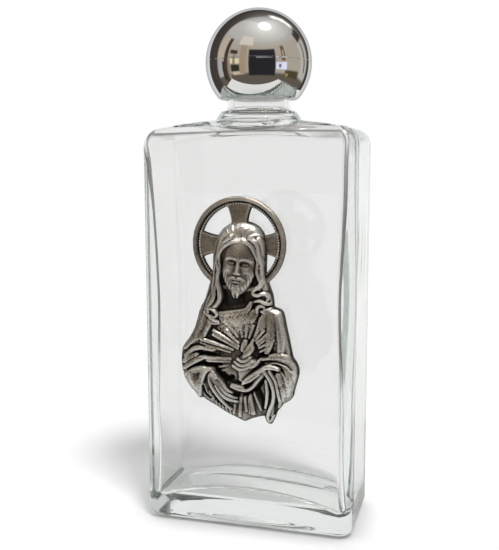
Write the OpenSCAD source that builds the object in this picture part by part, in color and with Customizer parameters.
// Rectangular glass water bottle with a chromed ball screw cap and a cast figure plaque on its front.
// Millimetres, +Z up. The origin is the centre of the base, and the front faces -Y.

/* [Glass body] */
// Width of the glass body
body_w = 68; // [60:1:90]
// Depth of the glass body, front to back
body_d = 33; // [30:1:50]
// Height of the body at its outer shoulder edges
body_h = 126.5; // [118:0.5:160]
// Rise of the shoulder from those edges to its middle
shoulder_rise = 2.6; // [1:0.1:4]
// Thickness of the glass side walls
wall = 3.2; // [2.4:0.1:4]
// Thickness of the glass shoulder at its middle
roof_t = 2.8; // [2.6:0.1:5]
// Rise of the cavity's ceiling from its ends to its middle
ceiling_rise = 1.4; // [0.6:0.1:2]
// Radius of the upright outer corners
corner_r = 4; // [2:0.5:6]
// Radius of the outer shoulder edges
shoulder_r = 4.5; // [2.5:0.5:6]
// Radius of the outer base edges
base_r = 3; // [1.5:0.5:4]
// Radius of the upright corners of the cavity
cavity_corner_r = 2.5; // [2:0.5:8]
// Radius of the cavity's upper and lower edges
cavity_edge_r = 3; // [2:0.5:5]
// Thickness of the base at its ends
base_t = 5.8; // [4:0.1:8]
// Rise of the arched cavity floor from its ends to its middle
floor_rise = 5.2; // [3:0.1:7]
// Rise of the hollow under the base
push_up = 2.2; // [1:0.1:3]
// Width of the ring under the base that the bottle stands on
bearing_w = 6; // [4.5:0.5:8]

/* [Neck] */
// Radius of the stepped collar at its foot
collar_r = 13.4; // [12.6:0.1:14.5]
// Radius of the collar at its upper edge
collar_top_r = 12.3; // [12:0.1:12.6]
// Height of the collar
collar_h = 2.7; // [2:0.1:4]
// Bevel round the collar's upper edge
collar_bevel = 0.4; // [0.2:0.1:0.6]
// Radius of the fillet from the collar to the neck
neck_fillet = 1.5; // [0.8:0.1:1.6]
// Outer radius of the neck
neck_r = 10; // [9.5:0.1:10.2]
// Length of bare neck between the collar and the cap
neck_show = 3.8; // [3:0.1:8]
// Length of full-width neck that goes on inside the cap
neck_tuck = 1.6; // [1:0.1:2.4]
// Outer radius of the neck between its threads
finish_r = 9; // [8.6:0.1:9.3]
// Length of neck inside the cap
finish_h = 13.5; // [12.5:0.1:15]
// Bevel round the outside of the lip
lip_bevel = 0.8; // [0.4:0.1:1.2]
// Radius of the bore through the neck
bore_r = 5.25; // [4:0.25:6]
// Bevel round the mouth of the bore
mouth_bevel = 0.6; // [0.3:0.1:1]
// Height of the funnel from the cavity into the bore
funnel_h = 3; // [2:0.5:5]

/* [Thread] */
// Pitch of the thread
pitch = 3.18; // [3:0.01:3.4]
// Height of the thread above its root
thread_h = 1; // [0.8:0.05:1.1]
// Half width of the thread at its root
thread_root_w = 1; // [0.9:0.05:1.1]
// Half width of the thread at its crest
thread_crest_w = 0.45; // [0.3:0.05:0.5]
// Turns of thread on the neck and in the cap
thread_turns = 1.5; // [1.2:0.1:1.7]
// Share of a turn over which each end of the thread runs out
thread_fade = 0.12; // [0.08:0.01:0.2]
// Distance from the lip down to the middle of the thread's upper end
lip_land = 2.2; // [1.8:0.1:2.6]
// Clearance between the threads, measured outwards
thread_clear = 0.35; // [0.3:0.05:0.5]

/* [Cap] */
// Outer radius of the ball
ball_r = 16.75; // [16.5:0.25:20]
// Distance from the ball's centre down to its flat underside
ball_drop = 11.25; // [10:0.25:11.5]
// Thickness of the two ball shells
shell_t = 1.6; // [1.2:0.1:1.8]
// Height of the spigot that joins the shells
spigot_h = 1.5; // [1:0.1:2]
// Thickness of the threaded insert's wall
insert_t = 1.3; // [1:0.1:1.4]
// Thickness of the insert's roof
insert_roof_t = 1.6; // [1.2:0.1:2.2]
// Set-back of the insert's foot from the ball's flat underside
insert_low = 0.5; // [0.2:0.1:1]
// Width of the insert's flange
flange_w = 1.5; // [1.2:0.1:1.8]
// Thickness of the insert's flange
flange_t = 1.6; // [1:0.1:2]
// Thickness of the socket round the insert
socket_t = 1.1; // [0.8:0.1:1.3]
// Distance from the ball's seam down to the socket's rim
socket_drop = 0.6; // [0.3:0.1:2]
// Radius of the post that holds the insert down
post_r = 5.2; // [4:0.2:8]
// Thickness of that post's wall
post_t = 1.2; // [0.8:0.1:1.6]
// Thickness of the ribs beside the post
rib_t = 1.2; // [0.8:0.1:1.6]
// Height of the ribs' lower edge above the insert
rib_lift = 2; // [1:0.5:4]
// Depth of the hairline seam round the ball
seam = 0.12; // [0.08:0.01:0.2]
// Thickness of the sealing liner
liner_t = 1.2; // [0.8:0.1:2]
// Clearance of the parts that are pressed or glued together in the cap
seat_clear = 0.08; // [0.05:0.01:0.12]

/* [Plaque] */
// Sideways place of the halo's centre on the front face
plaque_x = -1.3; // [-6:0.1:6]
// Height of the figure's lowest point above the base
plaque_z = 35.5; // [25:0.5:42]
// Thickness of the glue between glass and plaque
glue_t = 0.4; // [0.3:0.05:0.8]
// Thickness of the casting at its edges
plate_t = 1.8; // [1.4:0.1:2.4]
// Height of the halo's centre above the figure's lowest point
halo_v = 55.7; // [54:0.1:58]
// Outer radius of the halo
halo_r = 14.65; // [14:0.05:16]
// Radius of the round rim of the halo
halo_rim_r = 0.75; // [0.6:0.05:1]
// Width of the flat band inside the rim
halo_band_w = 1.1; // [0.9:0.1:1.6]
// Thickness of the band and of the cross arms
halo_t = 1.6; // [1:0.1:2]
// Half width of a cross arm at the middle of the halo
arm_in_w = 2.6; // [2:0.1:3]
// Half width of a cross arm where it meets the band
arm_out_w = 4.1; // [3.6:0.1:5]
// Crown of the figure's chest over the casting's edges
figure_crown = 2.4; // [1.6:0.1:3]
// Half width of a ray at its outer end
ray_w = 0.55; // [0.4:0.05:0.7]
// Distance of the rays' inner ends from the middle of the heart
ray_start = 4.2; // [3.8:0.1:5]
// Height of the rays' faces over the casting's back
ray_top = 5; // [4.6:0.1:5.6]

/* [Hidden] */

$fn = 96;
// How far a cut runs past the face that it cuts
over = 1;
// Smoothness of the very large circles
wide_fn = 360;
// Heights that stack up from the base
shoulder_z = body_h + shoulder_rise;
collar_z = shoulder_z + collar_h;
cap_z = collar_z + neck_show;
neck_top_z = cap_z + neck_tuck;
lip_z = cap_z + finish_h;
ball_z = cap_z + ball_drop;
// The cavity
cavity_w = body_w - 2 * wall;
cavity_d = body_d - 2 * wall;
cavity_peak = shoulder_z - roof_t;
cavity_top = cavity_peak - ceiling_rise;
cavity_low = base_t - cavity_edge_r / 2;
floor_top = base_t + floor_rise;
// The thread, which is sunk a little into what carries it
thread_z = lip_z - lip_land - pitch * thread_turns;
thread_sink = 0.35;
thread_steps = 30;
// The cap's inside
insert_bore_r = max(neck_r, finish_r + thread_h) + thread_clear;
insert_r = insert_bore_r + insert_t;
socket_r = insert_r + seat_clear;
socket_top = ball_z - socket_drop;
roof_z = lip_z + liner_t;
insert_top = roof_z + insert_roof_t;
shell_in_r = ball_r - shell_t;

// Radius of the arc over a chord of half width a with rise s
function arc_r(a, s) = (a * a + s * s) / (2 * s);

// Flat outline of a box with two corner radii, standing on the X axis
module round_outline(w, h, low_r, high_r) {
    for (side = [-1, 1]) {
        translate([side * (w / 2 - low_r), low_r]) circle(low_r);
        translate([side * (w / 2 - high_r), h - high_r]) circle(high_r);
    }
    translate([-w / 2, low_r]) square([w, h - low_r - high_r]);
    translate([-w / 2 + low_r, 0]) square([w - 2 * low_r, low_r]);
    translate([-w / 2 + high_r, h - high_r]) square([w - 2 * high_r, high_r]);
}

// Part of a disc that stands above the line y = level, with its top at level + rise
module crown(half_w, level, rise) {
    r = arc_r(half_w, rise);
    intersection() {
        translate([0, level + rise - r]) circle(r, $fn = wide_fn);
        translate([-half_w, level - rise]) square([2 * half_w, 2 * rise]);
    }
}

// Turns a flat front outline or a flat side outline into a long prism
module along_depth(length) rotate([90, 0, 0]) linear_extrude(length, center = true) children();
module along_width(length) rotate([90, 0, 90]) linear_extrude(length, center = true) children();

// Outside of the glass body: a plan, a front and a side outline that cross, under the arched shoulder
module body_outside() {
    intersection() {
        linear_extrude(shoulder_z + over)
            translate([0, -body_d / 2]) round_outline(body_w, body_d, corner_r, corner_r);
        along_depth(body_d + over) {
            round_outline(body_w, body_h, base_r, shoulder_r);
            crown(body_w / 2 - shoulder_r, body_h, shoulder_rise);
        }
        along_width(body_w + over) round_outline(body_d, 2 * body_h, base_r, base_r);
        shoulder_arch();
    }
}

// Disc that lies under the shoulder's arch, with its rim rounded like the other shoulder edges
module shoulder_arch() {
    r = arc_r(body_w / 2 - shoulder_r, shoulder_rise);
    translate([0, 0, shoulder_z - r]) rotate([90, 0, 0]) rotate_extrude($fn = wide_fn) {
        translate([0, -body_d / 2]) square([r - shoulder_r, body_d]);
        translate([r - shoulder_r, shoulder_r - body_d / 2]) square([shoulder_r, body_d - 2 * shoulder_r]);
        for (side = [-1, 1]) translate([r - shoulder_r, side * (body_d / 2 - shoulder_r)]) circle(shoulder_r);
    }
}

// The space inside, with a crowned ceiling and an arched floor
module cavity() {
    floor_r = arc_r(cavity_w / 2, floor_rise);
    intersection() {
        linear_extrude(shoulder_z)
            translate([0, -cavity_d / 2])
                round_outline(cavity_w, cavity_d, cavity_corner_r, cavity_corner_r);
        along_depth(cavity_d + over) difference() {
            union() {
                translate([0, cavity_low])
                    round_outline(cavity_w, cavity_top - cavity_low, cavity_edge_r, cavity_edge_r);
                crown(cavity_w / 2 - cavity_edge_r, cavity_top, ceiling_rise);
            }
            translate([0, floor_top - floor_r]) circle(floor_r, $fn = wide_fn);
        }
        along_width(cavity_w + over) translate([0, cavity_low])
            round_outline(cavity_d, cavity_peak - cavity_low, cavity_edge_r, cavity_edge_r);
    }
}

// Arched hollow under the base, which leaves a flat bearing ring
module base_hollow() {
    r = arc_r(body_w / 2 - bearing_w, push_up);
    translate([0, 0, push_up - r]) rotate([90, 0, 0])
        cylinder(r = r, h = body_d - 2 * bearing_w, center = true, $fn = wide_fn);
}

// Collar, neck and lip as one turned shape
module neck_outside() {
    step = neck_r - finish_r;
    foot_z = shoulder_z - roof_t / 2;
    rotate_extrude() difference() {
        polygon([
            [0, foot_z],
            [collar_r, foot_z],
            [collar_r, shoulder_z],
            [collar_top_r, collar_z - collar_bevel],
            [collar_top_r - collar_bevel, collar_z],
            [neck_r + neck_fillet, collar_z],
            [neck_r, collar_z + neck_fillet],
            [neck_r, neck_top_z],
            [finish_r, neck_top_z + step],
            [finish_r, lip_z - lip_bevel],
            [finish_r - lip_bevel, lip_z],
            [0, lip_z]
        ]);
        translate([neck_r + neck_fillet, collar_z + neck_fillet]) circle(neck_fillet);
    }
}

// Bore from the cavity's ceiling out of the lip, with a funnel at its foot
module neck_bore() {
    rotate_extrude() polygon([
        [0, cavity_peak - funnel_h],
        [bore_r + funnel_h, cavity_peak - funnel_h],
        [bore_r, cavity_peak + funnel_h / 2],
        [bore_r, lip_z - mouth_bevel],
        [bore_r + mouth_bevel, lip_z],
        [bore_r + mouth_bevel, lip_z + over],
        [0, lip_z + over]
    ]);
}

// Section of the thread at the turn t, as points from its lower foot to its upper foot
function fade(t) = min(1, min(t, thread_turns - t) / thread_fade);
function thread_section(t, root, crest, sunk) =
    let (a = 360 * t, z = pitch * t, tip = root + (crest - root) * fade(t))
    [for (c = [[sunk, -thread_root_w], [tip, -thread_crest_w], [tip, thread_crest_w], [sunk, thread_root_w]])
        [c[0] * cos(a), c[0] * sin(a), z + c[1]]];

// A right-hand thread that winds up round +Z, between the radii root and crest, with its ends run out
module thread(root, crest, sunk) {
    rings = ceil(thread_turns * thread_steps);
    points = [for (i = [0:rings]) each thread_section(i * thread_turns / rings, root, crest, sunk)];
    sides = [for (i = [0:rings - 1], k = [0:3])
        let (a = 4 * i + k, b = 4 * i + (k + 1) % 4)
        each [[a, b, b + 4], [a, b + 4, a + 4]]];
    last = 4 * rings;
    ends = [[0, 2, 1], [0, 3, 2], [last, last + 1, last + 2], [last, last + 2, last + 3]];
    faces = concat(sides, ends);
    // A thread that points inwards has its faces turned over
    inward = crest < sunk;
    polyhedron(points, inward ? [for (f = faces) [f[0], f[2], f[1]]] : faces, convexity = 6);
}

module bottle() color([0.86, 0.91, 0.89, 0.45]) difference() {
    union() {
        body_outside();
        neck_outside();
        translate([0, 0, thread_z]) thread(finish_r, finish_r + thread_h, finish_r - thread_sink);
    }
    cavity();
    neck_bore();
    base_hollow();
}

// Lower half of the ball: a shell with a floor, the socket for the insert and the spigot for the upper half
module cap_lower_shell() color([0.82, 0.83, 0.85]) difference() {
    union() {
        difference() {
            intersection() {
                translate([0, 0, ball_z]) sphere(ball_r);
                translate([0, 0, cap_z]) cylinder(r = ball_r + over, h = ball_drop);
            }
            translate([0, 0, ball_z]) sphere(shell_in_r);
        }
        intersection() {
            translate([0, 0, cap_z]) {
                cylinder(r = socket_r + socket_t, h = socket_top - cap_z);
                cylinder(r = ball_r, h = shell_t);
            }
            translate([0, 0, ball_z]) sphere(ball_r - seam);
        }
        spigot();
    }
    translate([0, 0, cap_z - over]) cylinder(r = socket_r, h = ball_r);
    seam_groove();
}

// Ring that rises from the lower shell into the upper one
module spigot() {
    out_r = sqrt(pow(shell_in_r, 2) - pow(spigot_h, 2)) - seat_clear;
    in_r = out_r - shell_t / 2;
    foot_r = ball_r - shell_t / 2;
    translate([0, 0, ball_z]) rotate_extrude() polygon([
        [in_r, -spigot_h], [foot_r, -spigot_h], [foot_r, 0], [out_r, 0], [out_r, spigot_h], [in_r, spigot_h]
    ]);
}

// Hairline groove round the ball where its halves meet
module seam_groove() translate([0, 0, ball_z]) rotate_extrude() polygon([
    [ball_r - seam, 0], [ball_r + seam, -seam], [ball_r + seam, seam]
]);

// Upper half of the ball, with the post and ribs that hold the insert down
module cap_upper_shell() color([0.84, 0.85, 0.87]) {
    difference() {
        union() {
            difference() {
                translate([0, 0, ball_z]) sphere(ball_r);
                translate([0, 0, ball_z]) sphere(shell_in_r);
            }
            intersection() {
                translate([0, 0, ball_z]) sphere(ball_r - shell_t / 2);
                union() {
                    translate([0, 0, insert_top]) cylinder(r = post_r, h = ball_r);
                    for (turn = [0, 90]) rotate(turn)
                        translate([-ball_r, -rib_t / 2, insert_top + rib_lift])
                            cube([2 * ball_r, rib_t, ball_r]);
                }
            }
        }
        translate([0, 0, ball_z - 2 * ball_r]) cylinder(r = 2 * ball_r, h = 2 * ball_r);
        translate([0, 0, insert_top - over])
            cylinder(r = post_r - post_t, h = ball_z + shell_in_r - insert_top);
        seam_groove();
    }
}

// Threaded insert: a barrel in the socket, with a flange on the socket's rim and a roof over the liner
module cap_insert() color([0.93, 0.93, 0.91]) {
    difference() {
        union() {
            translate([0, 0, cap_z + insert_low])
                cylinder(r = insert_r, h = insert_top - cap_z - insert_low);
            translate([0, 0, socket_top]) cylinder(r = insert_r + flange_w, h = flange_t);
        }
        translate([0, 0, cap_z - over]) cylinder(r = insert_bore_r, h = roof_z - cap_z + over);
    }
    translate([0, 0, thread_z - pitch / 2])
        thread(insert_bore_r, insert_bore_r - thread_h, insert_bore_r + thread_sink);
}

// Sealing disc between the lip and the insert's roof
module cap_liner() color([0.96, 0.96, 0.95]) translate([0, 0, lip_z])
    cylinder(r = insert_bore_r - thread_clear, h = liner_t);

// The plaque is drawn flat, u to the right, v up and w out of the glass, and then stood against the front
module on_front(gap) translate([plaque_x, -body_d / 2 - gap, plaque_z]) rotate([90, 0, 0]) children();

// Edge of the figure as [u, v], counter-clockwise from the right arm over the hair, down the left sleeve and
// along the hem. Every point can be seen from figure_mid.
figure_mid = [0, 30];
figure_edge = [
    [15.5, 30], [14.8, 34], [14.2, 35.7], [13, 36.7], [11.6, 37], [11.2, 38.5], [10.9, 40.2], [10.2, 42.2],
    [9.4, 44.2], [8.8, 46.5], [8.5, 49], [8.4, 51.5], [8.3, 54], [8, 56.5], [7.2, 58.8], [5.8, 60.6],
    [3.8, 61.8], [1.5, 62.3], [-0.8, 62], [-3, 61.2], [-5, 59.8], [-6.6, 57.8], [-7.8, 55.5], [-8.7, 53],
    [-9.2, 50.5], [-9.4, 48], [-9.3, 45.5], [-9.4, 43], [-10, 41], [-10.8, 39], [-11.9, 37], [-12.8, 35.2],
    [-13.6, 33], [-14.3, 30.5], [-15.2, 28], [-16.6, 26], [-18, 24.3], [-19, 22.5], [-19.5, 20],
    [-19.4, 17.5], [-18.8, 15], [-17.6, 12.3], [-16.2, 9.8], [-14.8, 7.8], [-13.5, 6.7], [-12.2, 7],
    [-10.5, 5.9], [-8, 4.6],
    [-5.5, 3.2], [-3, 1.9], [-0.5, 0.9], [1.5, 0.4], [3.3, 1], [5.2, 1.7], [7, 2.4], [8.1, 2.2], [8.7, 0.9],
    [9.6, 0.1], [10.6, 0.2], [11.4, 1.6], [12, 3.8], [12.9, 5.6], [14.3, 6.8], [15.8, 8], [17.1, 9.4],
    [17.8, 11.8], [18.4, 14.2], [19.1, 16.8], [19.1, 18.8], [18.4, 20.4], [17.4, 21.8], [16.7, 24], [16.1, 27]
];
figure_rings = 22;

// Swellings of the relief as [u, v, w, half sizes in u, v and w, tilt]
swells = [
    // head, brow, beard and nose
    [0.4, 49, 2.2, 5.4, 8.6, 3.8, -7],
    [0.9, 53, 2.6, 4.4, 3.6, 3.4, -7],
    [-0.3, 43.2, 2.2, 3.8, 4.6, 3.4, -7],
    [0.5, 48.6, 3.6, 1, 3, 3.6, -7],
    // crown of the hair
    [0.2, 55, 1.6, 8.1, 7.4, 3.6, -7],
    // chest and heart
    [-0.5, 31, 1, 10, 8, 3.4, 0],
    [0.6, 18.4, 3.6, 3.2, 3, 2.2, -15]
];

// Limbs and folds of the relief as runs of [u, v, w, radius]
limbs = [
    // neck
    [[-1.2, 43, 1, 3], [-0.6, 35, 1, 4]],
    // locks of hair on the left and on the right
    [[-6.6, 56, 2, 2], [-8, 50, 2, 2], [-8, 44, 2, 2], [-9.2, 38, 2, 2.3], [-8.2, 32.5, 2.4, 1.8]],
    [[6.4, 57, 1.8, 2], [7.2, 50, 2, 2], [7, 45, 2.2, 2], [5.6, 41, 2.6, 1.8], [8.4, 38.5, 2.4, 1.9],
        [6.6, 36, 2.6, 1.8]],
    // left sleeve, a fold across it and its hanging end
    [[-10.5, 33, 1.6, 3], [-15, 23, 1.6, 3.2], [-15.5, 16, 1.8, 3], [-8.5, 15.5, 2.6, 2.6]],
    [[-17.5, 20.5, 2, 1.2], [-9, 21.5, 3.6, 1.2]],
    [[-15, 13, 2, 1.8], [-13.6, 8.5, 1.4, 1.4]],
    // right sleeve and its two hanging folds
    [[11.5, 32.5, 1.6, 3], [14.8, 24, 1.8, 3.2], [14.6, 18.5, 2, 3], [7.5, 17.5, 2.8, 2.4]],
    [[8.6, 17, 3, 1.6], [10, 9, 2.4, 1.5], [9.8, 2, 1.2, 1.5]],
    [[13.5, 18, 2.4, 2], [14, 10, 1.8, 2]],
    // right hand and thumb
    [[7, 16.5, 3.6, 1.7], [1.5, 11.6, 3.8, 1.4], [-4, 11, 3.4, 1]],
    [[5, 15.4, 4, 1.2], [1.2, 14.2, 4, 1]],
    // left hand
    [[-9.6, 15.4, 3.4, 1.6], [-6.2, 9.4, 3.2, 1.4], [-1.6, 6.2, 2.4, 1]],
    [[-8.4, 11.6, 3.2, 1.2], [-4, 5.4, 2.4, 1]],
    // point of the heart and its flame
    [[0.5, 18, 3.8, 2.2], [1.4, 14.4, 3.6, 1]],
    [[1.8, 20.5, 4, 1.7], [3.4, 25.4, 3.6, 1]]
];

// Height of one swelling or of one stretch of a limb over the point p, or nothing beside it
function swell_height(p, s) =
    let (d = p - [s[0], s[1]], c = cos(s[6]), n = sin(s[6]),
         a = (d[0] * c + d[1] * n) / s[3], b = (d[1] * c - d[0] * n) / s[4], q = 1 - a * a - b * b)
    q > 0 ? s[2] + s[5] * sqrt(q) : 0;
function limb_height(p, a, b) =
    let (run = [b[0] - a[0], b[1] - a[1]], from = p - [a[0], a[1]],
         t = max(0, min(1, (from * run) / (run * run))), d = norm(from - t * run), mid = a + t * (b - a))
    d < mid[3] ? mid[2] + sqrt(mid[3] * mid[3] - d * d) : 0;

// Height of the relief over the point p, which lies the share s of the way out to the edge
function relief(p, s) = max(concat(
    [plate_t + figure_crown * (1 - s * s)],
    [for (x = swells) swell_height(p, x)],
    [for (run = limbs, i = [0:len(run) - 2]) limb_height(p, run[i], run[i + 1])]
));

// The figure as one closed skin: rings of points from its middle out to its edge, over a flat back
module figure() {
    n = len(figure_edge);
    last = 1 + (figure_rings - 1) * n;
    top = [for (i = [1:figure_rings], edge = figure_edge)
        let (s = i / figure_rings, p = figure_mid + s * (edge - figure_mid)) [p[0], p[1], relief(p, s)]];
    points = concat(
        [[figure_mid[0], figure_mid[1], relief(figure_mid, 0)]],
        top,
        [for (edge = figure_edge) [edge[0], edge[1], 0]],
        [[figure_mid[0], figure_mid[1], 0]]
    );
    back = last + n;
    faces = [for (j = [0:n - 1]) let (k = (j + 1) % n) each concat(
        [[0, 1 + k, 1 + j]],
        [for (i = [0:figure_rings - 2]) let (a = 1 + i * n, b = a + n)
            each [[a + j, a + k, b + k], [a + j, b + k, b + j]]],
        [[back + j, last + k, back + k], [back + j, last + j, last + k], [back + n, back + j, back + k]]
    )];
    polyhedron(points, faces, convexity = 10);
}

// Ring of the halo: a round rim with a flat band inside it, and three arms of a flared cross
band_in_r = halo_r - 2 * halo_rim_r - halo_band_w;
module halo() translate([0, halo_v, 0]) {
    rotate_extrude() {
        translate([halo_r - halo_rim_r, halo_t]) circle(halo_rim_r, $fn = 24);
        translate([halo_r - 1.8 * halo_rim_r, 0]) square([1.6 * halo_rim_r, halo_t]);
        translate([band_in_r, 0]) square([halo_band_w + halo_rim_r, halo_t]);
    }
    for (turn = [0, 90, 180]) rotate(turn) cross_arm();
}

// One flared arm of the cross in the halo, along +U, with hollow sides
module cross_arm() {
    reach = band_in_r + halo_band_w / 2;
    waist = 0.45 * reach;
    flare = 0.75 * reach;
    flare_w = 0.6 * arm_in_w + 0.4 * arm_out_w;
    linear_extrude(0.9 * halo_t) polygon([
        [0, -arm_in_w], [waist, -arm_in_w], [flare, -flare_w], [reach, -arm_out_w],
        [reach, arm_out_w], [flare, flare_w], [waist, arm_in_w], [0, arm_in_w]
    ]);
}

// Rays round the heart as [direction, reach]
ray_mid = [1.6, 20.5];
ray_list = [
    [15, 8], [30, 9.5], [48, 9], [66, 9.5], [84, 10], [104, 9.5], [124, 9.5], [142, 11.5], [158, 14],
    [180, 13], [252, 13], [268, 16], [286, 14]
];
module rays() for (ray = ray_list)
    translate([ray_mid[0], ray_mid[1], plate_t / 2]) rotate(ray[0]) linear_extrude(ray_top - plate_t / 2)
        polygon([[ray_start, -ray_w / 2], [ray[1], -ray_w], [ray[1], ray_w], [ray_start, ray_w / 2]]);

module figure_plaque() color([0.5, 0.47, 0.43]) on_front(glue_t) {
    figure();
    halo();
    rays();
}

// Two dabs of clear glue behind the figure, one at the chest and one at the head
glue_dabs = [[-0.5, 20, 9], [-0.5, 50, 5.5]];
module plaque_glue() color([0.9, 0.9, 0.86]) on_front(0)
    for (dab = glue_dabs) translate([dab[0], dab[1], 0]) cylinder(r = dab[2], h = glue_t);

bottle();
figure_plaque();
plaque_glue();
cap_insert();
cap_liner();
cap_lower_shell();
cap_upper_shell();
